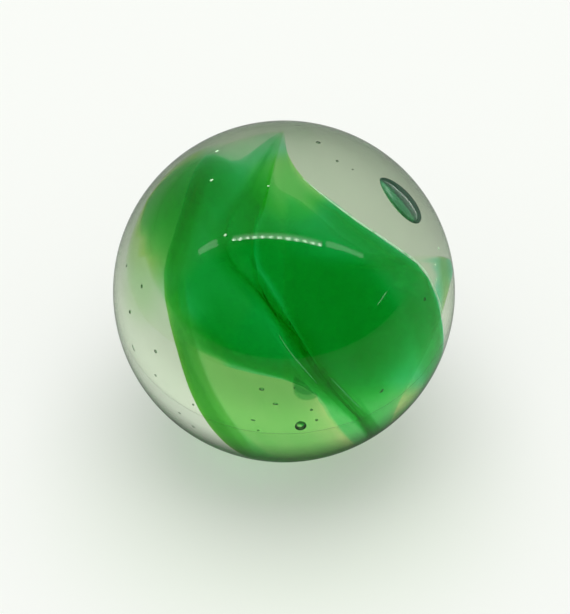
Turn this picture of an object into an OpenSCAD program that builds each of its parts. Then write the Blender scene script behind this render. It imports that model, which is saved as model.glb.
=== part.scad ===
// Glass marble: a clear ball with one folded swirl of green glass fused into it.
// The swirl is a thin leaf just under the surface, with a long seam between its two lobes.
// A web drops from the seam to a thicker core, and all three run together at both ends.

/* [Ball] */
// Diameter of the ball
ball_d = 16; // [12:0.5:25]

/* [Swirl] */
// How far the face of the swirl leans from the top of the ball towards the front
face_tilt = 45; // [0:5:90]
// Clear glass that covers the leaf
skin_t = 0.05; // [0.04:0.01:0.2]
// Thickness of the left lobe of the leaf
left_t = 0.75; // [0.5:0.05:1.2]
// Thickness of the right lobe of the leaf
right_t = 1.8; // [0.8:0.05:2.2]
// Thickness that the rolled band adds near both edges of the leaf
band_t = 1; // [0.2:0.05:1.2]
// How far the walls of the edges lean from the radius of the ball towards the axis of the face
edge_lean = 0.6; // [0:0.1:0.8]
// Thickness of the leaf in the groove beside the seam
groove_t = 0.2; // [0.15:0.05:0.45]
// Thickness that the fold adds beside the seam
fold_t = 1; // [0.4:0.1:1.2]
// Thickness of the web under the seam
web_t = 0.06; // [0.04:0.02:0.2]
// Thickness that the web gains where it meets the core
web_flare = 0.1; // [0.05:0.05:0.4]
// Thickness of the core at its middle
core_t = 2; // [1:0.1:2.4]
// Thickness of the film at the upper end and the borders of the core
film_t = 0.4; // [0.2:0.05:0.6]

/* [Air bubbles] */
// Length of the long bubble
bubble_l = 2.6; // [1.5:0.1:3]
// Width of the long bubble
bubble_w = 0.75; // [0.4:0.05:0.9]
// Glass between the surface and the axis of the long bubble
bubble_depth = 0.9; // [0.7:0.05:1.2]
// Diameter of the round bubble
seed_d = 0.5; // [0.3:0.05:0.7]
// Glass between the surface and the centre of the round bubble
seed_depth = 1.7; // [1.5:0.1:2]

/* [Hidden] */
$fn = 96;

ball_r = ball_d / 2;
leaf_r = ball_r - skin_t;

// Rails of the leaf from the cusp to the tail, as seen from the front of its face.
// Each point is an angle away from the middle of the face, then a turn round it.
cusp = [70, 90];
tail = [125, 300];
left_edge = [
    cusp, [54, 109], [66, 120], [48, 145], [45, 172],
    [45, 208], [57, 233], [78, 255], [105, 275], tail
];
seam = [
    cusp, [40, 98], [32, 107], [26, 116], [17, 137],
    [8, 192], [19, 276], [39, 291], [70, 300], tail
];
right_edge = [
    cusp, [52, 88], [40, 77], [35, 52], [41, 24],
    [57, 5], [73, 345], [95, 330], [112, 318], tail
];

// Rails of the core between the same ends, for a ball of radius 1:
// across the face, up the face and out of the face.
core_left = [
    polar(cusp), [-0.24, 0.68, 0.05], [-0.45, 0.56, 0], [-0.58, 0.38, 0], [-0.65, 0.12, 0],
    [-0.58, -0.12, 0], [-0.26, -0.29, 0], [0.08, -0.38, 0], [0.2, -0.52, -0.2], polar(tail)
];
core_mid = [
    polar(cusp), [-0.08, 0.68, 0.2], [-0.16, 0.45, 0.05], [-0.28, 0.3, 0], [-0.28, 0.13, 0],
    [-0.1, -0.02, 0], [0.09, -0.17, 0], [0.22, -0.36, 0], [0.35, -0.53, -0.2], polar(tail)
];
core_right = [
    polar(cusp), [-0.02, 0.7, 0.2], [-0.04, 0.46, 0.1], [0.08, 0.35, 0], [0.34, 0.15, 0],
    [0.73, 0.14, 0], [0.74, -0.02, 0], [0.56, -0.37, 0], [0.43, -0.53, -0.2], polar(tail)
];
last = len(seam) - 1;

// Spans along the rails, which count from the cusp at 0, where a thickness comes or goes
end_run = 2.2;
right_lobe_grows = [2, 3.5];
right_lobe_ends = [7.3, 6.1];
bands_grow = [1.8, 3];
left_fold_grows = [0.8, 2];
left_fold_ends = [4.6, 3.1];
right_fold_grows = [5.3, 6.7];
groove_narrows = [4.8, 6.2];
core_grows = [1.3, 2.6];
core_ends = [6.9, 7.7];
left_core_thins = [2.8, 4];
left_core_grows = [4.4, 5.2];
left_core_draws_in = [3, 4];
left_core_spreads = [5.8, 5];
left_film_fades = [2.5, 5];
right_film_grows = [4, 4.6];
right_film_ends = [6, 5.4];

// Spans across a lobe, which counts from the seam at 0 to the edge at 1
left_fold_reach = [0.4, 0.05];
band_reach = [0.78, 0.92];
edge_reach = [0.94, 1];

// Places across one lobe of the leaf beyond its groove, across half the core and down the web
lobe_steps = [0.22, 0.4, 0.6, 0.78, 0.85, 0.92, 0.97, 1];
core_steps = [0.1, 0.3, 0.5, 0.65, 0.75, 0.85, 0.93, 1];
web_steps = [0, 0.2, 0.5, 0.8];
rings = 32;

// Long bubble and round bubble: angle away from the middle of the face, then turn round it
bubble_at = [61, 38];
bubble_turn = -46;
seed_at = [62, 277];

function polar(p) = [sin(p[0]) * cos(p[1]), sin(p[0]) * sin(p[1]), cos(p[0])];
function unit(v) = v / norm(v);
function mix(a, b, f) = a + (b - a) * f;
function reversed(list) = [for (i = [len(list) - 1 : -1 : 0]) list[i]];

// Rises smoothly from 0 at the first end of a span to 1 at its second end
function ramp(x, span) =
    let(f = min(1, max(0, (x - span[0]) / (span[1] - span[0]))))
    f * f * (3 - 2 * f);

// Smooth curve through the points of a rail, where u counts its points from 0
function along(rail, u) =
    let(i = min(floor(u), len(rail) - 2))
    let(a = rail[max(i - 1, 0)])
    let(b = rail[i])
    let(c = rail[i + 1])
    let(d = rail[min(i + 2, len(rail) - 1)])
    let(f = u - i)
    b + f / 2 * (c - a + f * (2 * a - 5 * b + 4 * c - d + f * (3 * (b - c) + d - a)));

left_rail = [for (p = left_edge) polar(p)];
seam_rail = [for (p = seam) polar(p)];
right_rail = [for (p = right_edge) polar(p)];

// Everything thins out towards the cusp and the tail
function taper(u) = 1 - pow(1 - min(1, min(u, last - u) / end_run), 2);

// The leaf runs from its left edge at v = -1 over the seam at 0 to its right edge at 1
function edge_rail(v) = v < 0 ? left_rail : right_rail;
function leaf_way(u, v) = unit(mix(along(seam_rail, u), along(edge_rail(v), u), abs(v)));
function right_share(u) = ramp(u, right_lobe_grows) * ramp(u, right_lobe_ends);
function lobe_t(u, side) = side < 0 ? left_t : mix(left_t, right_t, right_share(u));

// One groove runs beside the seam all the way and a second one on its other side towards the tail
function lower(u) = ramp(u, groove_narrows);
function groove_at(u, side) = side < 0 ? 0.06 : mix(0.09, 0.1, lower(u));
function groove_half(u, side) = side < 0 ? 0.025 : mix(0.045, 0.015, lower(u));
function groove(u, v) =
    (v < 0 ? lower(u) : 1) * max(0, 1 - abs(abs(v) - groove_at(u, v)) / groove_half(u, v));

// The fold lies left of the seam in its upper half and right of it near the tail
function left_run(u) = ramp(u, left_fold_grows) * ramp(u, left_fold_ends);
function left_fold(u, a) = left_run(u) * ramp(a, left_fold_reach);
function right_fold(u, a) = a < groove_at(u, 1) ? ramp(u, right_fold_grows) : 0;
function fold(u, side, a) = fold_t * (side < 0 ? left_fold(u, a) : right_fold(u, a));
function side_t(u, side, a) = lobe_t(u, side) + fold(u, side, a);
function seam_t(u) = max(side_t(u, -1, 0), side_t(u, 1, 0));
function full_t(u, v) = v == 0 ? seam_t(u) : side_t(u, sign(v), abs(v));

function rolled(u, v) = ramp(u, bands_grow) * ramp(abs(v), band_reach);
function leaf_body(u, v) =
    mix(full_t(u, v) + band_t * rolled(u, v), groove_t, groove(u, v));
function leaf_thick(u, v) = taper(u) * leaf_body(u, v) * (1 - ramp(abs(v), edge_reach) / 2);
function leaf_depth_way(u, v) = unit(mix(leaf_way(u, v), [0, 0, 1], edge_lean * rolled(u, v)));
function leaf_outside(u, v) = leaf_way(u, v) * leaf_r;
function leaf_inside(u, v) = leaf_outside(u, v) - leaf_thick(u, v) * leaf_depth_way(u, v);
function groove_steps(u, side) =
    let(at = groove_at(u, side))
    let(half = groove_half(u, side))
    [(at - half) * 0.7, at - half, at, at + half];
function lobe(u, side) = side * concat(groove_steps(u, side), lobe_steps);

// The core bends through its three rails, from s = -1 on the left to 1 on the right
function core_line(u, s) =
    ball_r * (along(core_mid, u) * (1 - s * s)
        + along(core_left, u) * s * (s - 1) / 2
        + along(core_right, u) * s * (s + 1) / 2);
function core_out(u) = unit(leaf_outside(u, 0) - core_line(u, 0));

// The core is a film near the cusp and along its borders, and thick within them.
// Its left half is thickest near the top, and there its border fades away down the side.
function core_share(u) = ramp(u, core_grows) * (1 - 0.9 * ramp(u, core_ends));
function left_share(u) = 1.6 - 0.8 * ramp(u, left_core_thins) + 0.6 * ramp(u, left_core_grows);
function side_share(u, s) = mix(1, left_share(u), ramp(s, [0, -0.6]));
function core_full(u, s) = mix(film_t, core_t * side_share(u, s), core_share(u));
function left_film(u) = 1 - 0.85 * ramp(u, left_film_fades);
function right_film(u) = 1 + 1.4 * ramp(u, right_film_grows) * ramp(u, right_film_ends);
function border_t(u, s) = film_t * (s < 0 ? left_film(u) : right_film(u));
function left_limit(u) = mix(0.95, 0.65, ramp(u, left_core_draws_in) * ramp(u, left_core_spreads));
function left_body(u) = [-left_limit(u), mix(0.35, 0.15, lower(u)) - left_limit(u)];
function body_share(u, s) = ramp(s, s < 0 ? left_body(u) : [0.88, 0.42]);
function core_thick(u, s) = mix(border_t(u, s), core_full(u, s), body_share(u, s));
function core_half(u, s) = taper(u) * core_thick(u, s) * sqrt(1.2 - pow(s, 8)) / 2;
function core_face(u, s, side) = core_line(u, s) + side * core_half(u, s) * core_out(u);

function seam_side(u) = unit(leaf_way(u, 0.1) - leaf_way(u, -0.1));
function web_half(u, f) = pow(taper(u), 2) * (web_t + web_flare * pow(f, 3)) / 2;
function web_point(u, f, side) =
    mix(leaf_inside(u, 0), core_face(u, 0, 1), f) + side * web_half(u, f) * seam_side(u);

// One ring goes once round the leaf, the web and the core
function ring(u) = concat(
    [for (v = reversed(lobe(u, -1))) leaf_outside(u, v)],
    [leaf_outside(u, 0)],
    [for (v = lobe(u, 1)) leaf_outside(u, v)],
    [for (v = reversed(lobe(u, 1))) leaf_inside(u, v)],
    [for (f = web_steps) web_point(u, f, 1)],
    [for (s = core_steps) core_face(u, s, 1)],
    [for (s = reversed(core_steps)) core_face(u, s, -1)],
    [core_face(u, 0, -1)],
    [for (s = core_steps) core_face(u, -s, -1)],
    [for (s = reversed(core_steps)) core_face(u, -s, 1)],
    [for (f = reversed(web_steps)) web_point(u, f, -1)],
    [for (v = lobe(u, -1)) leaf_inside(u, v)]
);

// Two triangles for four corners, split so that the two walls of the web stay parallel
function split(a, b, c, d, turned) = turned ? [[a, b, d], [b, c, d]] : [[a, b, c], [a, c, d]];

module swirl_shape() {
    parts = [for (i = [1 : rings]) i / (rings + 1)];
    stations = [for (t = parts) last * (t - sin(360 * t) / 20)];
    count = len(ring(stations[0]));
    ends = [for (p = [cusp, tail]) polar(p) * leaf_r];
    points = concat([for (u = stations) each ring(u)], ends);
    first_end = rings * count;
    left_half = count - len(core_steps) - len(web_steps) - len(lobe(1, -1));
    skirt = [
        for (i = [0 : rings - 2])
            for (j = [0 : count - 1])
                let(a = i * count + j)
                let(b = i * count + (j + 1) % count)
                    each split(a, b, b + count, a + count, j >= left_half)
    ];
    tip = [for (j = [0 : count - 1]) [first_end, (j + 1) % count, j]];
    end_ring = (rings - 1) * count;
    toe = [for (j = [0 : count - 1]) [first_end + 1, end_ring + j, end_ring + (j + 1) % count]];
    rotate([face_tilt, 0, 0]) polyhedron(points, concat(skirt, tip, toe));
}

// Puts a child just under the surface, with its own Z pointing out of the ball
module under_surface(at, depth) {
    rotate([face_tilt, 0, 0])
        rotate([0, at[0], at[1]])
            translate([0, 0, ball_r - depth]) children();
}

// Half width of the long bubble at t, from one end at 0 to the other at 1
function bubble_half(t) = bubble_w / 2 * pow(sin(180 * pow(t, 0.85)), 0.75);

module long_bubble() {
    half = [for (t = [0 : 0.05 : 1]) [bubble_half(t), bubble_l * (t - 0.5)]];
    under_surface(bubble_at, bubble_depth)
        rotate([0, 90, bubble_turn - bubble_at[1]]) rotate_extrude() polygon(half);
}

module round_bubble() {
    under_surface(seed_at, seed_depth) sphere(d = seed_d);
}

module clear_glass() {
    color([0.85, 0.93, 0.88, 0.35])
    difference() {
        sphere(d = ball_d);
        swirl_shape();
        long_bubble();
        round_bubble();
    }
}

module green_swirl() {
    color([0.1, 0.6, 0.22]) swirl_shape();
}

clear_glass();
green_swirl();
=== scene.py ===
import math
import bmesh
import bpy
from mathutils import Matrix, Vector
from mathutils.bvhtree import BVHTree


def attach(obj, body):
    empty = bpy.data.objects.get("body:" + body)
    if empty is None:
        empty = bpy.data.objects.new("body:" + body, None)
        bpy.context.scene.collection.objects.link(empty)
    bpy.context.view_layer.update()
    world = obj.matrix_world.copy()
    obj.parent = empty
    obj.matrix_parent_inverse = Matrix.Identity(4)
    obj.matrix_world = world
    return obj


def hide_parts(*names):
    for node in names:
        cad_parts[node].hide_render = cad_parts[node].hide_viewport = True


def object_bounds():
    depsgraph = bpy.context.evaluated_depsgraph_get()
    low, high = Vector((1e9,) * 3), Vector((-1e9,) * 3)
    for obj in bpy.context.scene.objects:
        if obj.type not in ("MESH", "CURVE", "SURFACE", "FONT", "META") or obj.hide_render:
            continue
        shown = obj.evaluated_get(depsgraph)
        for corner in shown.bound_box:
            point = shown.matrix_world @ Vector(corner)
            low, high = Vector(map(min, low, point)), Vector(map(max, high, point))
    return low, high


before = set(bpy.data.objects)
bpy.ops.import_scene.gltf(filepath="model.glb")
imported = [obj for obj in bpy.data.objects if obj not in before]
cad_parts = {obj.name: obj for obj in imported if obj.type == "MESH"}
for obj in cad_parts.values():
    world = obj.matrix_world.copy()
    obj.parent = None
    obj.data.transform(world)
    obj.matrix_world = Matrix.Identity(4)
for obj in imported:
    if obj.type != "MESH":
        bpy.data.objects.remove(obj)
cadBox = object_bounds()  # the CAD model's own box
mm = 0.001
ballRadius = (cadBox[1].z - cadBox[0].z) / 2
faceTilt = math.radians(45)  # the side with the seam looks half upwards
faceTurn = Matrix.Rotation(faceTilt, 4, "X")  # from the face's axes to the frame's
print("frame loaded, ball radius", round(ballRadius / mm, 3), "mm")


# Helpers for nodes and pieces

def addNode(tree, kind, **values):
    node = tree.nodes.new(kind)
    for name, value in values.items():
        setattr(node, name, value)
    return node


def setInputs(node, values):
    for name, value in values.items():
        node.inputs[name].default_value = value


def feed(tree, value, socket):  # links another node's output, or sets a plain value
    if isinstance(value, bpy.types.NodeSocket):
        tree.links.new(value, socket)
    else:
        socket.default_value = value


def mathNode(tree, operation, first, second=0.0):
    node = addNode(tree, "ShaderNodeMath", operation=operation)
    feed(tree, first, node.inputs[0])
    feed(tree, second, node.inputs[1])
    return node.outputs["Value"]


def both(tree, *masks):  # 1 only where all of them are
    result = masks[0]
    for mask in masks[1:]:
        result = mathNode(tree, "MULTIPLY", result, mask)
    return result


def step(tree, value, start, end):  # 0 at start, 1 at end, smooth between
    node = addNode(tree, "ShaderNodeMapRange", clamp=True, interpolation_type="SMOOTHSTEP")
    setInputs(node, {"From Min": start, "From Max": end})
    tree.links.new(value, node.inputs["Value"])
    return node.outputs["Result"]


def vectorNode(tree, operation, vector, other=(0, 0, 0)):
    node = addNode(tree, "ShaderNodeVectorMath", operation=operation)
    tree.links.new(vector, node.inputs[0])
    node.inputs[1].default_value = other
    return node.outputs


def splitVector(tree, vector):
    node = addNode(tree, "ShaderNodeSeparateXYZ")
    tree.links.new(vector, node.inputs["Vector"])
    return node.outputs


def spot(tree, points, middle, outer, inner):  # 1 within the inner radius of a place on the face
    away = vectorNode(tree, "DISTANCE", points, onFace(*middle))["Value"]
    return step(tree, away, outer, inner)


def mixColour(tree, factor, first, second, blend="MIX"):
    node = addNode(tree, "ShaderNodeMix", data_type="RGBA", blend_type=blend)
    feed(tree, factor, node.inputs["Factor"])
    feed(tree, first, node.inputs["A"])
    feed(tree, second, node.inputs["B"])
    return node.outputs["Result"]


def mixValue(tree, factor, first, second):
    node = addNode(tree, "ShaderNodeMix", data_type="FLOAT")
    feed(tree, factor, node.inputs["Factor"])
    feed(tree, first, node.inputs["A"])
    feed(tree, second, node.inputs["B"])
    return node.outputs["Result"]


def facePoints(tree):  # across, up and towards the lens, in ball radii
    coords = addNode(tree, "ShaderNodeTexCoord")
    mapping = addNode(tree, "ShaderNodeMapping")
    setInputs(mapping, {"Rotation": (-faceTilt, 0, 0), "Scale": (1 / ballRadius,) * 3})
    tree.links.new(coords.outputs["Object"], mapping.inputs["Vector"])
    return mapping.outputs["Vector"]


def onFace(across, up):  # a place on the ball's surface, in ball radii
    return Vector((across, up, math.sqrt(1 - across ** 2 - up ** 2)))


def seatOn(outward):  # turns the upper side of a shape outwards
    return outward.to_track_quat("Z", "Y").to_matrix().to_4x4()


def newMaterial(name):
    material = bpy.data.materials.new(name)
    material.use_nodes = True
    tree = material.node_tree
    tree.nodes.clear()
    output = addNode(tree, "ShaderNodeOutputMaterial")
    shader = addNode(tree, "ShaderNodeBsdfPrincipled")
    tree.links.new(shader.outputs["BSDF"], output.inputs["Surface"])
    return material, tree, shader, output


def fillGlass(tree, output, colour, density):  # colour that grows with the glass passed through
    absorb = addNode(tree, "ShaderNodeVolumeAbsorption")
    setInputs(absorb, {"Color": colour, "Density": density})
    tree.links.new(absorb.outputs["Volume"], output.inputs["Volume"])


def newPiece(name, bm, material):
    mesh = bpy.data.meshes.new(name)
    bm.to_mesh(mesh)
    bm.free()
    mesh.materials.append(material)
    for face in mesh.polygons:
        face.use_smooth = True
    piece = bpy.data.objects.new(name, mesh)
    bpy.context.scene.collection.objects.link(piece)
    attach(piece, "root")
    return piece


# Streaks and clouds of drawn glass, shared by every glass here

streakPattern = {
    "turn": math.radians(-58),  # streaks run along the seam
    "stretch": (7, 1, 2.5),
    "detail": 4,
    "cloudShare": 0.3,  # clouds are this much coarser
}


def makeStreakGroup():
    group = bpy.data.node_groups.new("glassStreaks", "ShaderNodeTree")
    group.interface.new_socket("Point", in_out="INPUT", socket_type="NodeSocketVector")
    group.interface.new_socket("Scale", in_out="INPUT", socket_type="NodeSocketFloat")
    group.interface.new_socket("Streak", in_out="OUTPUT", socket_type="NodeSocketFloat")
    group.interface.new_socket("Cloud", in_out="OUTPUT", socket_type="NodeSocketFloat")
    start = addNode(group, "NodeGroupInput")
    end = addNode(group, "NodeGroupOutput")
    drawn = addNode(group, "ShaderNodeMapping", vector_type="TEXTURE")
    setInputs(drawn, {"Rotation": (0, 0, streakPattern["turn"]), "Scale": streakPattern["stretch"]})
    group.links.new(start.outputs["Point"], drawn.inputs["Vector"])
    streak = addNode(group, "ShaderNodeTexNoise")
    setInputs(streak, {"Detail": streakPattern["detail"], "Roughness": 0.55, "Distortion": 0.4})
    group.links.new(drawn.outputs["Vector"], streak.inputs["Vector"])
    group.links.new(start.outputs["Scale"], streak.inputs["Scale"])
    cloud = addNode(group, "ShaderNodeTexNoise")
    setInputs(cloud, {"Detail": streakPattern["detail"], "Roughness": 0.6})
    group.links.new(start.outputs["Point"], cloud.inputs["Vector"])
    coarser = mathNode(group, "MULTIPLY", start.outputs["Scale"], streakPattern["cloudShare"])
    group.links.new(coarser, cloud.inputs["Scale"])
    group.links.new(streak.outputs[0], end.inputs["Streak"])
    group.links.new(cloud.outputs[0], end.inputs["Cloud"])
    return group


streakGroup = makeStreakGroup()


def addStreaks(tree, points, scale):
    node = addNode(tree, "ShaderNodeGroup", node_tree=streakGroup)
    node.inputs["Scale"].default_value = scale
    tree.links.new(points, node.inputs["Point"])
    return node.outputs


# Camera at the photograph's angle

shot = {
    "elevation": 45,  # degrees above level
    "distance": 600 * mm,  # lens to the middle of the ball
    "frameSize": (570, 614),
    "ballMiddle": (284, 291.4),  # pixels
    "ballPixels": 171,  # radius of the ball's outline
    "sensor": 36,
}


def makeCamera():
    data = bpy.data.cameras.new("shotCamera")
    camera = bpy.data.objects.new("shotCamera", data)
    bpy.context.scene.collection.objects.link(camera)
    tilt = math.radians(shot["elevation"])
    camera.location = shot["distance"] * Vector((0, -math.cos(tilt), math.sin(tilt)))
    camera.rotation_euler = (math.pi / 2 - tilt, 0, 0)
    width, height = shot["frameSize"]
    outline = math.tan(math.asin(ballRadius / shot["distance"]))
    data.sensor_width = shot["sensor"]
    data.lens = shot["ballPixels"] / outline * shot["sensor"] / height
    data.shift_x = (width / 2 - shot["ballMiddle"][0]) / height
    data.shift_y = (shot["ballMiddle"][1] - height / 2) / height
    data.clip_start = 1 * mm
    bpy.context.scene.camera = camera


makeCamera()
print("camera placed")


# Clear glass of the ball, with the air bubbles caught in it

clearBall = {
    "detail": 7,  # icosphere levels
    "ior": 1.5,
    "absorbTint": (0.38, 0.68, 0.09, 1),
    "absorbDensity": 32,  # per metre
    "paleTint": (1, 1, 1, 1),
    "cloudTint": (0.975, 1, 0.985, 1),
    "cloudReach": (0.4, 0.7),
    "crescentShadeTint": (0.72, 0.95, 0.62, 1),  # painted shade: a green darkening of the ball's left side, where it shows the shaded floor beneath it
    "crescentShadeAt": (-0.84, 0.02),
    "crescentShadeReach": (0.3, 0.06),
    "streakScale": 11,
    "smudge": 0.05,  # roughness of finger marks
    "smudgeReach": (0.56, 0.72),
    "peelHeight": 0.0035 * mm,  # slight unevenness of the fire-polished surface
}

longBubble = {
    "away": 65.4,  # degrees from the middle of the face
    "round": 38.2,  # degrees round it
    "turn": -41,
    "length": 2.6 * mm,
    "width": 0.75 * mm,
    "flat": 2.3,  # wider along the surface than into it
    "depth": 0.9 * mm,
    "taper": (0.58, 0.45),  # fine at its upper end and blunt at the other
    "segments": (40, 28),
    # painted reflection of the green glass around the bubble
    "paintedWallGreen": (0.17, 0.62, 0.34, 1),
    "wallClear": 0.72,  # the rest is a painted green reflection on the wall
}

roundBubble = {"away": 62, "round": 277, "diameter": 0.5 * mm, "depth": 1.7 * mm, "detail": 4}

seeds = {
    "skin": 0.02 * mm,  # glass left over each one
    "detail": 2,
    "places": (  # across, up, half width in mm, drawn-out length
        (-0.92, 0.15, 0.07, 1), (-0.90, -0.12, 0.09, 1), (-0.83, 0.03, 0.07, 1.4),
        (-0.88, -0.33, 0.06, 3), (-0.75, -0.35, 0.08, 1.2), (-0.75, -0.49, 0.07, 1),
        (-0.61, -0.71, 0.06, 1.3), (-0.53, -0.79, 0.08, 1), (-0.53, -0.66, 0.06, 1),
        (-0.13, -0.57, 0.08, 1.6), (-0.05, -0.655, 0.06, 2.2), (0.06, -0.56, 0.05, 1),
        (0.16, -0.69, 0.07, 1), (0.19, -0.75, 0.07, 1), (-0.18, -0.75, 0.05, 2.4),
        (-0.15, -0.81, 0.05, 1), (0.20, 0.87, 0.09, 1.3), (0.08, 0.97, 0.07, 1.5),
        (0.31, 0.76, 0.07, 1), (0.40, 0.71, 0.05, 1), (0.57, -0.58, 0.08, 1.5),
        (0.82, -0.045, 0.08, 1),
    ),
}


def clearGlassMaterial():
    material, tree, shader, output = newMaterial("clearGlass")
    setInputs(shader, {"IOR": clearBall["ior"], "Transmission Weight": 1.0})
    points = facePoints(tree)
    cloud = addStreaks(tree, points, clearBall["streakScale"])["Cloud"]
    clouded = step(tree, cloud, *clearBall["cloudReach"])
    # painted shade on the left side of the ball
    crescentShade = spot(tree, points, clearBall["crescentShadeAt"], *clearBall["crescentShadeReach"])
    tint = mixColour(tree, clouded, clearBall["paleTint"], clearBall["cloudTint"])
    tint = mixColour(tree, crescentShade, tint, clearBall["crescentShadeTint"], "MULTIPLY")
    tree.links.new(tint, shader.inputs["Base Color"])
    smudged = step(tree, cloud, *clearBall["smudgeReach"])
    marks = mathNode(tree, "MULTIPLY", smudged, clearBall["smudge"])
    tree.links.new(marks, shader.inputs["Roughness"])
    peel = addNode(tree, "ShaderNodeBump")
    setInputs(peel, {"Strength": 1.0, "Distance": clearBall["peelHeight"]})
    tree.links.new(cloud, peel.inputs["Height"])
    tree.links.new(peel.outputs["Normal"], shader.inputs["Normal"])
    fillGlass(tree, output, clearBall["absorbTint"], clearBall["absorbDensity"])
    return material


def bubbleWallMaterial():  # painted reflection: the wall takes the green of the glass around it
    material, tree, shader, output = newMaterial("bubbleWall")
    setInputs(shader, {"Base Color": longBubble["paintedWallGreen"], "Roughness": 0.0})
    setInputs(shader, {"IOR": clearBall["ior"], "Transmission Weight": longBubble["wallClear"]})
    return material


def underSurface(away, turn, depth):  # from a bubble's own axes to its place in the ball
    place = Matrix.Rotation(math.radians(turn), 4, "Z") @ Matrix.Rotation(math.radians(away), 4, "Y")
    return faceTurn @ place @ Matrix.Translation((0, 0, ballRadius - depth))


def addLongBubble(bm):
    wide, high = longBubble["segments"]
    fine, blunt = longBubble["taper"]
    widest = fine / (fine + blunt)
    verts = bmesh.ops.create_uvsphere(bm, u_segments=wide, v_segments=high, radius=1)["verts"]
    for vert in verts:
        along = max(0, min(1, (1 + vert.co.z) / 2))
        swell = (along / widest) ** fine * ((1 - along) / (1 - widest)) ** blunt
        half = longBubble["width"] / 2 * swell
        ring = math.hypot(vert.co.x, vert.co.y) or 1
        broad = half * longBubble["flat"]
        lengthwise = longBubble["length"] * (along - 0.5)
        vert.co = (vert.co.x / ring * half, vert.co.y / ring * broad, lengthwise)
    lie = Matrix.Rotation(math.radians(longBubble["turn"] - longBubble["round"]), 4, "Z")
    lie = lie @ Matrix.Rotation(math.radians(90), 4, "Y")
    place = underSurface(longBubble["away"], longBubble["round"], longBubble["depth"])
    bmesh.ops.transform(bm, matrix=place @ lie, verts=verts)


def addRoundBubble(bm):
    place = underSurface(roundBubble["away"], roundBubble["round"], roundBubble["depth"])
    radius = roundBubble["diameter"] / 2
    bmesh.ops.create_icosphere(bm, subdivisions=roundBubble["detail"], radius=radius, matrix=place)


def addSeeds(bm):
    for across, up, half, drawn in seeds["places"]:
        outward = onFace(across, up)
        turn = seatOn(outward)
        if drawn > 1:  # drawn out along the rim
            rim = math.atan2(up, across) + math.pi / 2
            turn = Matrix.Rotation(rim, 4, "Z") @ Matrix.Diagonal((drawn, 1, 1, 1))
        radius = half * mm
        place = Matrix.Translation(outward * (ballRadius - seeds["skin"] - radius))
        matrix = faceTurn @ place @ turn
        bmesh.ops.create_icosphere(bm, subdivisions=seeds["detail"], radius=radius, matrix=matrix)


def makeClearBall():
    bm = bmesh.new()
    addLongBubble(bm)
    for face in bm.faces:
        face.material_index = 1  # the long bubble's own wall
    addRoundBubble(bm)
    addSeeds(bm)
    bmesh.ops.recalc_face_normals(bm, faces=bm.faces)
    bmesh.ops.reverse_faces(bm, faces=bm.faces)  # walls of air look into the hollow
    bmesh.ops.create_icosphere(bm, subdivisions=clearBall["detail"], radius=ballRadius)
    ball = newPiece("clearBall", bm, clearGlassMaterial())
    ball.data.materials.append(bubbleWallMaterial())
    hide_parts("clear_glass")


makeClearBall()
print("clear ball made, with", len(seeds["places"]), "seeds and two bubbles")


# Green swirl, from the CAD solid

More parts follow.
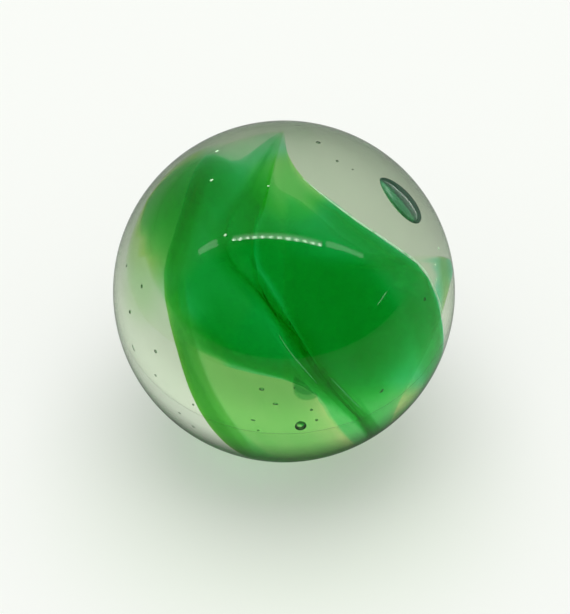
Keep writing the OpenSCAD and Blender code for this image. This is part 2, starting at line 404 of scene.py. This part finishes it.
greenSwirl = {
    "mergeGap": 0.0005 * mm,
    "creaseAngle": math.radians(38),
    "depthReach": 0.7 * mm,  # leaf this thick takes its full tint
    "depthLean": 0.1,  # a ray for it starts a little off the corner of its face
    "ior": 1.0006,  # almost the clear glass around it
    "absorbTint": (0.0, 0.831, 0.346, 1),
    "absorbDensity": 1300,  # per metre
    "streakScale": 7,
    "streakTint": (0.84, 0.96, 0.86, 1),
    "paleTint": (0.98, 1, 0.94, 1),  # thin edges
    "leftTint": (0.45, 1, 1, 1),
    "rightTint": (0.42, 0.95, 0.85, 1),
    "rightEdgeTint": (0.6, 0.96, 0.86, 1),
    # painted light: lighter yellow-green below the arc, where the ball shows the lit floor beyond its
    # shadow
    "paintedLightTint": (0.97, 0.91, 0.46, 1),
    "bandTint": (1, 0.9, 0.42, 1),
    "lowBandTint": (0.5, 0.64, 0.12, 1),
    "patchTint": (0.86, 0.9, 0.38, 1),
    "stripTint": (0.65, 0.78, 0.41, 1),
    "triangleTint": (0.64, 0.96, 0.42, 1),
    "knotTint": (0.14, 0.55, 0.28, 1),
    "ribbonTint": (0.35, 0.8, 0.5, 1),  # dark fold beside the seam
    "triangleAt": (0.03, 0.64),
    "knotAt": (0.14, -0.565),
    "knotSlant": 0.62,  # its upper side is cut off along the core's edge
    "rightSlope": 1.05,  # of the leaf's right edge
    "arcBend": 0.9,  # of the painted light's upper edge
    "arcLift": 0.12,
    "bandBend": 0.45,  # of the leaf's left edge
    "masks": {  # 0 at the first value, 1 at the second, most of them in ball radii on the face
        "thick": (0.05, 0.5),
        "leaf": (0.74, 0.84),  # distance from the middle, with the core inside it
        "leftHalf": (0.1, -0.05),
        "leftOuter": (-0.7, -0.55),
        "leftTop": (0.86, 0.68),
        "rightHalf": (-0.05, 0.1),
        "rightEdge": (0.55, 0.7),
        "arcLift": (0.15, 0.35),
        "low": (-0.38, -0.5),
        "band": (-0.595, -0.63),
        "bandTop": (0.15, -0.1),
        "bandLow": (-0.1, -0.4),
        "patchSide": (-0.34, -0.42),
        "patchTop": (-0.05, 0.15),
        "strip": (0.66, 0.74),
        "ribbonDepth": (0.5, 0.6),
        "ribbonNear": (-0.36, -0.345),
        "ribbonFar": (-0.22, -0.25),
        "ribbonAlong": (0.5, 0.7),
        "triangle": (0.32, 0.18),
        "knot": (0.095, 0.075),
        "knotTop": (-0.475, -0.495),
        "streak": (0.45, 0.75),
    },
    "filmZone": (0.8, 0.3),  # points of the films lie within this radius and height
    "leafZone": (0.7, 0.1),  # points of the leaf lie beyond these
    "leftFilm": {  # drawn out to the left
        "spread": 0.1,
        "across": (-0.2, -0.4),
        "up": (-0.1, 0.15),
        "away": (0.45, 0.65),
    },
    "rightFilm": {  # drawn out at its rim and pinched towards the middle
        "spread": 0.13,
        "across": (0.5, 0.74),
        "up": (0, 0.12),
        "pinch": 0.97,
        "pinchFrom": (0.34, 0.44),
        "pinchTo": (0.69, 0.62),
        "pinchUp": (-0.1, 0.02),
    },
    "groove": {  # its upper stretch moves to the left
        "shift": 0.035,
        "upFrom": (0.02, 0.14),
        "upTo": (0.5, 0.38),
        "acrossFrom": (-0.215, -0.14),
        "acrossTo": (0.05, -0.1),
    },
    "thinning": {  # of the leaf at its lower right, and left of the seam's tail
        "share": 0.6,
        "surface": 0.994,
        "depth": (0.8, 0.85),
        "lowBeside": (-0.25, -0.1),
        "lowUp": (-0.5, -0.62),
        "tailFrom": (-0.355, -0.375),
        "tailTo": (-0.6, -0.5),
        "tailAlong": (0.75, 0.9),
    },
    "edgeDraw": {  # of the leaf's right edge
        "across": 0.012,
        "up": 0.018,
        "besideFrom": (0.6, 0.8),
        "acrossFrom": (0.1, 0.3),
        "upFrom": (0, 0.12),
    },
}


def swirlMask(tree, value, name):
    return step(tree, value, *greenSwirl["masks"][name])


def greenGlassMaterial():
    material, tree, shader, output = newMaterial("greenGlass")
    setInputs(shader, {"Roughness": 0.0, "IOR": greenSwirl["ior"], "Transmission Weight": 1.0})
    points = facePoints(tree)
    outward = vectorNode(tree, "NORMALIZE", points)["Vector"]  # alike on both walls of the leaf
    inside = splitVector(tree, points)
    parts = splitVector(tree, outward)
    across = parts["X"]
    up = parts["Y"]
    radius = vectorNode(tree, "LENGTH", points)["Value"]
    depth = addNode(tree, "ShaderNodeAttribute", attribute_name="glassDepth").outputs["Fac"]
    thick = swirlMask(tree, depth, "thick")
    leaf = swirlMask(tree, radius, "leaf")
    core = mathNode(tree, "SUBTRACT", 1.0, leaf)

    left = both(tree, thick, swirlMask(tree, across, "leftHalf"), swirlMask(tree, across, "leftOuter"))
    left = both(tree, left, swirlMask(tree, up, "leftTop"))
    right = both(tree, thick, swirlMask(tree, across, "rightHalf"))
    tint = mixColour(tree, left, greenSwirl["paleTint"], greenSwirl["leftTint"])
    tint = mixColour(tree, right, tint, greenSwirl["rightTint"])
    slant = mathNode(tree, "ADD", across, mathNode(tree, "MULTIPLY", up, greenSwirl["rightSlope"]))
    rightEdge = both(tree, leaf, thick, swirlMask(tree, slant, "rightEdge"))
    tint = mixColour(tree, rightEdge, tint, greenSwirl["rightEdgeTint"], "MULTIPLY")

    leftward = mathNode(tree, "MINIMUM", across, 0.0)
    bend = mathNode(tree, "MULTIPLY", both(tree, leftward, leftward), greenSwirl["arcBend"])
    lift = mathNode(tree, "MULTIPLY", swirlMask(tree, across, "arcLift"), greenSwirl["arcLift"])
    arc = mathNode(tree, "ADD", mathNode(tree, "SUBTRACT", up, bend), lift)
    # painted light of the lit floor, below the arc
    low = both(tree, leaf, swirlMask(tree, arc, "low"))
    tint = mixColour(tree, low, tint, greenSwirl["paintedLightTint"])
    bend = mathNode(tree, "MULTIPLY", both(tree, up, up), greenSwirl["bandBend"])
    edge = mathNode(tree, "SUBTRACT", across, bend)
    band = both(tree, leaf, swirlMask(tree, edge, "band"), swirlMask(tree, up, "bandTop"))
    lower = swirlMask(tree, up, "bandLow")
    bandTint = mixColour(tree, lower, greenSwirl["bandTint"], greenSwirl["lowBandTint"])
    tint = mixColour(tree, band, tint, bandTint)

    patch = both(tree, core, thick, swirlMask(tree, inside["X"], "patchSide"))
    patch = both(tree, patch, swirlMask(tree, inside["Y"], "patchTop"))
    tint = mixColour(tree, patch, tint, greenSwirl["patchTint"])
    strip = both(tree, core, swirlMask(tree, inside["X"], "strip"))
    tint = mixColour(tree, strip, tint, greenSwirl["stripTint"])

    beside = mathNode(tree, "ADD", across, up)
    along = mathNode(tree, "SUBTRACT", across, up)
    ribbon = both(tree, swirlMask(tree, radius, "ribbonDepth"), swirlMask(tree, beside, "ribbonNear"))
    ribbon = both(tree, ribbon, swirlMask(tree, beside, "ribbonFar"), swirlMask(tree, along, "ribbonAlong"))
    tint = mixColour(tree, ribbon, tint, greenSwirl["ribbonTint"], "MULTIPLY")
    triangle = spot(tree, outward, greenSwirl["triangleAt"], *greenSwirl["masks"]["triangle"])
    tint = mixColour(tree, both(tree, leaf, triangle), tint, greenSwirl["triangleTint"])
    below = mathNode(tree, "ADD", up, mathNode(tree, "MULTIPLY", across, greenSwirl["knotSlant"]))
    knot = spot(tree, outward, greenSwirl["knotAt"], *greenSwirl["masks"]["knot"])
    knot = both(tree, leaf, knot, swirlMask(tree, below, "knotTop"))
    tint = mixColour(tree, knot, tint, greenSwirl["knotTint"], "MULTIPLY")

    streak = addStreaks(tree, points, greenSwirl["streakScale"])["Streak"]
    drawn = both(tree, thick, swirlMask(tree, streak, "streak"))
    tint = mixColour(tree, drawn, tint, greenSwirl["streakTint"], "MULTIPLY")
    tree.links.new(tint, shader.inputs["Base Color"])
    fillGlass(tree, output, greenSwirl["absorbTint"], greenSwirl["absorbDensity"])
    return material


def markDepth(bm):  # thickness of the glass under each point, for the tint
    depth = bm.verts.layers.float.new("glassDepth")
    bm.normal_update()
    walls = BVHTree.FromBMesh(bm)
    start = greenSwirl["mergeGap"]
    for vert in bm.verts:
        thinnest = greenSwirl["depthReach"]
        for face in vert.link_faces:
            inward = -face.normal
            point = vert.co.lerp(face.calc_center_median(), greenSwirl["depthLean"]) + inward * start
            distance = walls.ray_cast(point, inward)[3]
            if distance is not None:
                thinnest = min(thinnest, distance)
        vert[depth] = thinnest / greenSwirl["depthReach"]


def rise(value, start, end):  # 0 at start, 1 at end, smooth between
    share = max(0, min(1, (value - start) / (end - start)))
    return share * share * (3 - 2 * share)


def drawFilm(place):  # the core's thin films at the two sides of the face
    left = greenSwirl["leftFilm"]
    right = greenSwirl["rightFilm"]
    spread = left["spread"] * rise(place.x, *left["across"]) * rise(place.y, *left["up"])
    spread *= rise(place.xy.length, *left["away"])
    spread += right["spread"] * rise(place.x, *right["across"]) * rise(place.y, *right["up"])
    pinch = rise(place.x, *right["pinchFrom"]) * rise(place.x, *right["pinchTo"])
    pinch *= rise(place.y, *right["pinchUp"])
    place.z *= 1 - right["pinch"] * pinch
    place.xy *= 1 + spread
    return place


def thinLeaf(place):  # moves the groove, thins the leaf and draws out its right edge
    radius = place.length
    way = place.normalized()
    groove = greenSwirl["groove"]
    shift = groove["shift"] * rise(way.y, *groove["upFrom"]) * rise(way.y, *groove["upTo"])
    way.x -= shift * rise(way.x, *groove["acrossFrom"]) * rise(way.x, *groove["acrossTo"])
    beside = way.x + way.y
    along = way.x - way.y
    thinning = greenSwirl["thinning"]
    thin = rise(beside, *thinning["lowBeside"]) * rise(way.y, *thinning["lowUp"])
    tail = rise(beside, *thinning["tailFrom"]) * rise(beside, *thinning["tailTo"])
    thin += tail * rise(along, *thinning["tailAlong"])
    thin *= rise(radius, *thinning["depth"])
    radius += thinning["share"] * thin * max(0, thinning["surface"] - radius)
    draw = greenSwirl["edgeDraw"]
    drawn = rise(beside, *draw["besideFrom"]) * rise(way.x, *draw["acrossFrom"])
    drawn *= rise(way.y, *draw["upFrom"])
    way.x += draw["across"] * drawn
    way.y += draw["up"] * drawn
    return way.normalized() * radius


def settleGlass(bm):
    back = faceTurn.inverted()
    filmRadius, filmHeight = greenSwirl["filmZone"]
    leafRadius, leafHeight = greenSwirl["leafZone"]
    for vert in bm.verts:
        place = back @ vert.co / ballRadius
        if place.length < filmRadius and abs(place.z) < filmHeight:
            place = drawFilm(place)
        elif place.length > leafRadius and place.z > leafHeight:
            place = thinLeaf(place)
        vert.co = faceTurn @ (place * ballRadius)


def makeGreenSwirl():
    bm = bmesh.new()
    bm.from_mesh(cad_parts["green_swirl"].data)
    bmesh.ops.remove_doubles(bm, verts=bm.verts, dist=greenSwirl["mergeGap"])
    settleGlass(bm)
    for edge in bm.edges:
        edge.smooth = len(edge.link_faces) == 2 and edge.calc_face_angle() < greenSwirl["creaseAngle"]
    markDepth(bm)
    swirl = newPiece("greenSwirl", bm, greenGlassMaterial())
    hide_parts("green_swirl")


makeGreenSwirl()
print("green swirl made")


# Chips, a scratch, fine lines along the leaf, painted glints and a painted bright rim, all in the surface

surfaceMarksAndGlints = {
    "lines": (  # places across and up, half width in ball radii, paleness
        {  # scratch
            "path": ((0.596, 0.0), (0.575, -0.03), (0.54, -0.08)),
            "half": 0.004,
            "pale": 0.05,
        },
        {  # painted bright rim along the right edge of the leaf
            "path": (
                (0.11, 0.655), (0.234, 0.55), (0.421, 0.41), (0.608, 0.285),
                (0.795, 0.145), (0.885, -0.01), (0.924, -0.13),
            ),
            "half": 0.006,
            "pale": 0.8,
        },
        {  # seam
            "path": ((-0.03, -0.25), (0.035, -0.35), (0.11, -0.44), (0.19, -0.53)),
            "half": 0.004,
            "pale": 0.0,
        },
        {  # far side of its fold
            "path": ((0.27, -0.5), (0.36, -0.595), (0.45, -0.685)),
            "half": 0.004,
            "pale": 0.0,
        },
    ),
    "lineCuts": 48,
    "lineEnd": 0.06,  # how far along the swell of its width a line starts
    "lineStep": 0.01,  # share of a line over which its heading is taken
    "proud": 0.002 * mm,
    "chipDepth": 0.012 * mm,
    "chipsAndGlints": (  # across, up, half width in mm; the first three are chips, the fourth and the last three painted glints
        (-0.39, 0.815, 0.1), (-0.42, 0.645, 0.09), (-0.09, 0.61, 0.06), (-0.34, 0.325, 0.08),
        (0.9, 0.25, 0.07), (0.878, 0.155, 0.07), (0.885, 0.066, 0.06),
    ),
    "chipShape": (1, 0.8, 0.35, 1),  # shares of its half width
    "chipDetail": 2,
    # pale chips, painted glints and painted bright rim
    "paleTint": (0.6, 0.9, 0.58, 1),
    "deepTint": (0.06, 0.36, 0.1, 1),
    "paleReach": (0.1, 0.55),
    "roughReach": (-0.6, 1.2),
    "glowReach": 0.03 * mm,  # light passes through to the glass below
    "streakScale": 60,
    "grainHeight": 0.004 * mm,
}


# the chips' material, which also colours the painted glints and bright rim
def marksAndGlintsMaterial():
    material, tree, shader, output = newMaterial("marksAndPaintedGlints")
    setInputs(shader, {"Subsurface Weight": 1.0, "Subsurface Radius": (1, 1, 1)})
    setInputs(shader, {"Subsurface Scale": surfaceMarksAndGlints["glowReach"]})
    pattern = addStreaks(tree, facePoints(tree), surfaceMarksAndGlints["streakScale"])
    streak = pattern["Streak"]
    pale = addNode(tree, "ShaderNodeAttribute", attribute_name="markPale").outputs["Fac"]
    pale = both(tree, pale, step(tree, pattern["Cloud"], *surfaceMarksAndGlints["paleReach"]))
    tint = mixColour(tree, pale, surfaceMarksAndGlints["deepTint"], surfaceMarksAndGlints["paleTint"])
    tree.links.new(tint, shader.inputs["Base Color"])
    tree.links.new(step(tree, streak, *surfaceMarksAndGlints["roughReach"]), shader.inputs["Roughness"])
    grain = addNode(tree, "ShaderNodeBump")
    setInputs(grain, {"Strength": 1.0, "Distance": surfaceMarksAndGlints["grainHeight"]})
    tree.links.new(streak, grain.inputs["Height"])
    tree.links.new(grain.outputs["Normal"], shader.inputs["Normal"])
    return material


def alongCurve(points, share):  # a place on the smooth curve through the points
    end = len(points) - 1
    span = min(int(share * end), end - 1)
    part = share * end - span
    rest = 1 - part
    around = (Vector(points[max(0, min(end, span + k))]) for k in (-1, 0, 1, 2))
    before, first, last, after = around
    leaving = (last - before) / 2
    arriving = (after - first) / 2
    place = first * rest ** 2 * (1 + 2 * part) + leaving * part * rest ** 2
    return place + last * part ** 2 * (3 - 2 * part) - arriving * part ** 2 * rest


def addLine(bm, line, paleness):
    points = line["path"]
    cuts = surfaceMarksAndGlints["lineCuts"]
    end = surfaceMarksAndGlints["lineEnd"]
    near = surfaceMarksAndGlints["lineStep"]
    verts = bmesh.ops.create_grid(bm, x_segments=cuts, y_segments=2, size=0.5)["verts"]
    for vert in verts:
        share = max(0, min(1, vert.co.x + 0.5))
        heading = alongCurve(points, min(1, share + near)) - alongCurve(points, max(0, share - near))
        side = heading.orthogonal().normalized()
        half = line["half"] * math.sin(math.pi * (end + (1 - 2 * end) * share))
        place = alongCurve(points, share) + side * 2 * vert.co.y * half
        vert.co = onFace(*place) * (ballRadius + surfaceMarksAndGlints["proud"])
        vert[paleness] = line["pale"]
    faces = list({face for vert in verts for face in vert.link_faces})
    bmesh.ops.recalc_face_normals(bm, faces=faces)
    bmesh.ops.solidify(bm, geom=faces, thickness=surfaceMarksAndGlints["chipDepth"])


# chips, and painted glints built the same way
def addChipsAndGlints(bm, paleness):
    detail = surfaceMarksAndGlints["chipDetail"]
    flat = Matrix.Diagonal(surfaceMarksAndGlints["chipShape"])
    for across, up, half in surfaceMarksAndGlints["chipsAndGlints"]:
        outward = onFace(across, up)
        place = Matrix.Translation(outward * ballRadius) @ seatOn(outward) @ flat
        dot = bmesh.ops.create_icosphere(bm, subdivisions=detail, radius=half * mm, matrix=place)
        for vert in dot["verts"]:
            vert[paleness] = 1


def makeSurfaceMarksAndGlints():
    bm = bmesh.new()
    paleness = bm.verts.layers.float.new("markPale")
    for line in surfaceMarksAndGlints["lines"]:
        addLine(bm, line, paleness)
    addChipsAndGlints(bm, paleness)
    bmesh.ops.transform(bm, matrix=faceTurn, verts=bm.verts)
    bmesh.ops.recalc_face_normals(bm, faces=bm.faces)
    newPiece("surfaceMarksAndGlints", bm, marksAndGlintsMaterial())


makeSurfaceMarksAndGlints()
print("chips, scratch and fine lines made")


# Floor and light

studio = {
    "floorHalf": 600 * mm,
    "floorTint": (0.92, 0.94, 0.90, 1),
    "nearTint": (0.86, 0.92, 0.82, 1),  # green light thrown down beside the ball
    "nearAt": (0, -6 * mm, -ballRadius),
    "nearReach": (15 * mm, 4 * mm),
    "liftTint": (0.98, 1, 0.96, 1),
    "floorLift": 0.35,  # share of plain white that the lens sees
    "floorMirror": 0.65,  # share of the floor that gloss doesn't see
    "worldTint": (1, 1, 1, 1),
    "worldLevel": 0.6,
    "glossLevels": (0.22, 0.02),  # what gloss sees at the back, and on the dark side behind the lens
    "frontTurn": (-0.02, -0.2),
    "duskLevels": (0.85, 0.15),  # what glass sees from the horizon up
    "duskTurn": (0.12, 0.5),
}

stripLamp = {
    "middle": (-14 * mm, -20 * mm, 150 * mm),
    "size": (164 * mm, 14 * mm),
    "tilt": -6,  # degrees about its own axis
    "power": 0.088,
    "beads": 11.5,  # bright pieces along it
    "beadDepth": 0.85,
    "veil": 0.2,  # strength of the glow beside the bright edge
    "veilReach": (1.0, 0.3),  # across the lamp
    "edge": (0.38, 0.32),  # where the bright edge starts, across the lamp
}

stripEnds = (  # fainter stretches at the two ends of the strip
    {
        "name": "stripEndLeft",
        "middle": (-178 * mm, -8 * mm, 150 * mm),
        "size": (84 * mm, 18 * mm),
        "tilt": 0,
        "power": 0.008,
    },
    {
        "name": "stripEndRight",
        "middle": (136 * mm, -28 * mm, 150 * mm),
        "size": (120 * mm, 12 * mm),
        "tilt": 0,
        "power": 0.007,
    },
)

topLamp = {"middle": (0, 20 * mm, 220 * mm), "size": (200 * mm, 200 * mm), "tilt": 0, "power": 0.28}


def floorMaterial():
    material, tree, shader, output = newMaterial("paleFloor")
    setInputs(shader, {"Roughness": 0.9, "Specular IOR Level": 0.1})
    coords = addNode(tree, "ShaderNodeTexCoord")
    away = vectorNode(tree, "DISTANCE", coords.outputs["Object"], studio["nearAt"])["Value"]
    near = step(tree, away, *studio["nearReach"])
    tint = mixColour(tree, near, studio["floorTint"], studio["nearTint"])
    tree.links.new(tint, shader.inputs["Base Color"])
    lift = addNode(tree, "ShaderNodeEmission")
    glow = mixColour(tree, near, studio["liftTint"], studio["nearTint"])
    tree.links.new(glow, lift.inputs["Color"])
    dim = addNode(tree, "ShaderNodeEmission")
    setInputs(dim, {"Color": (0, 0, 0, 1), "Strength": 0.0})
    path = addNode(tree, "ShaderNodeLightPath")
    seen = mathNode(tree, "MULTIPLY", path.outputs["Is Camera Ray"], studio["floorLift"])
    lit = addNode(tree, "ShaderNodeMixShader")
    tree.links.new(seen, lit.inputs[0])
    tree.links.new(shader.outputs["BSDF"], lit.inputs[1])
    tree.links.new(lift.outputs["Emission"], lit.inputs[2])
    gloss = path.outputs["Is Glossy Ray"]
    mirrored = mathNode(tree, "SUBTRACT", gloss, path.outputs["Is Transmission Ray"])
    mirrored = mathNode(tree, "MULTIPLY", mirrored, studio["floorMirror"])
    full = addNode(tree, "ShaderNodeMixShader")
    tree.links.new(mirrored, full.inputs[0])
    tree.links.new(lit.outputs["Shader"], full.inputs[1])
    tree.links.new(dim.outputs["Emission"], full.inputs[2])
    tree.links.new(full.outputs["Shader"], output.inputs["Surface"])
    return material


def makeFloor():
    bm = bmesh.new()
    bmesh.ops.create_grid(bm, x_segments=1, y_segments=1, size=studio["floorHalf"])
    bmesh.ops.translate(bm, verts=bm.verts, vec=(0, 0, -ballRadius))
    mesh = bpy.data.meshes.new("paleFloor")
    bm.to_mesh(mesh)
    bm.free()
    mesh.materials.append(floorMaterial())
    floor = bpy.data.objects.new("paleFloor", mesh)
    bpy.context.scene.collection.objects.link(floor)


def levelBy(tree, value, turn, levels):  # passes from one level to the other over the turn
    node = addNode(tree, "ShaderNodeMapRange", clamp=True)
    setInputs(node, {"From Min": turn[0], "From Max": turn[1]})
    setInputs(node, {"To Min": levels[0], "To Max": levels[1]})
    tree.links.new(value, node.inputs["Value"])
    return node.outputs["Result"]


def makeWorld():
    world = bpy.data.worlds.new("whiteBox")
    bpy.context.scene.world = world
    world.use_nodes = True
    tree = world.node_tree
    tree.nodes.clear()
    output = addNode(tree, "ShaderNodeOutputWorld")
    back = addNode(tree, "ShaderNodeBackground")
    back.inputs["Color"].default_value = studio["worldTint"]
    tree.links.new(back.outputs["Background"], output.inputs["Surface"])
    coords = addNode(tree, "ShaderNodeTexCoord")
    parts = splitVector(tree, coords.outputs["Generated"])
    path = addNode(tree, "ShaderNodeLightPath")
    gloss = levelBy(tree, parts["Y"], studio["frontTurn"], studio["glossLevels"])
    dusk = levelBy(tree, parts["Z"], studio["duskTurn"], studio["duskLevels"])
    level = mixValue(tree, path.outputs["Is Glossy Ray"], studio["worldLevel"], gloss)
    level = mixValue(tree, path.outputs["Is Transmission Ray"], level, dusk)
    level = mixValue(tree, path.outputs["Is Camera Ray"], level, 1.0)
    tree.links.new(level, back.inputs["Strength"])


def addLamp(name, lamp):
    data = bpy.data.lights.new(name, "AREA")
    data.shape = "RECTANGLE"
    data.size, data.size_y = lamp["size"]
    data.energy = lamp["power"]
    place = Vector(lamp["middle"])
    back = Vector((0, place.y, place.z)).normalized()  # its face turns to the ball, its length stays level
    side = Vector((1, 0, 0))
    turn = Matrix((side, back.cross(side), back)).transposed()
    turn = turn @ Matrix.Rotation(math.radians(lamp["tilt"]), 3, "Z")
    piece = bpy.data.objects.new(name, data)
    bpy.context.scene.collection.objects.link(piece)
    piece.location = place
    piece.rotation_euler = turn.to_euler()
    return piece


def beadStrip(data):  # bright beads along one edge of the lamp, and a faint glow beside them
    data.use_nodes = True
    tree = data.node_tree
    light = next(node for node in tree.nodes if node.type == "EMISSION")
    place = addNode(tree, "ShaderNodeNewGeometry")
    parts = splitVector(tree, place.outputs["Parametric"])
    turns = mathNode(tree, "MULTIPLY", parts["X"], stripLamp["beads"] * 2 * math.pi)
    wave = mathNode(tree, "MULTIPLY", mathNode(tree, "SINE", turns), stripLamp["beadDepth"] / 2)
    bead = mathNode(tree, "ADD", wave, 1 - stripLamp["beadDepth"] / 2)
    veil = step(tree, parts["Y"], *stripLamp["veilReach"])
    veil = mathNode(tree, "MULTIPLY", veil, stripLamp["veil"])
    bright = step(tree, parts["Y"], *stripLamp["edge"])
    level = mixValue(tree, bright, veil, bead)
    tree.links.new(level, light.inputs["Strength"])


def makeLights():
    strip = addLamp("stripLamp", stripLamp)
    beadStrip(strip.data)
    ends = [addLamp(lamp["name"], lamp) for lamp in stripEnds]
    for lamp in (strip, *ends):
        lamp.visible_diffuse = False
        lamp.visible_transmission = False
    top = addLamp("topLamp", topLamp)
    top.visible_glossy = False


makeFloor()
makeWorld()
makeLights()
bpy.context.scene.view_settings.view_transform = "Standard"
bpy.context.scene.cycles.max_bounces = 32
bpy.context.scene.cycles.transmission_bounces = 32
print("floor and light ready")
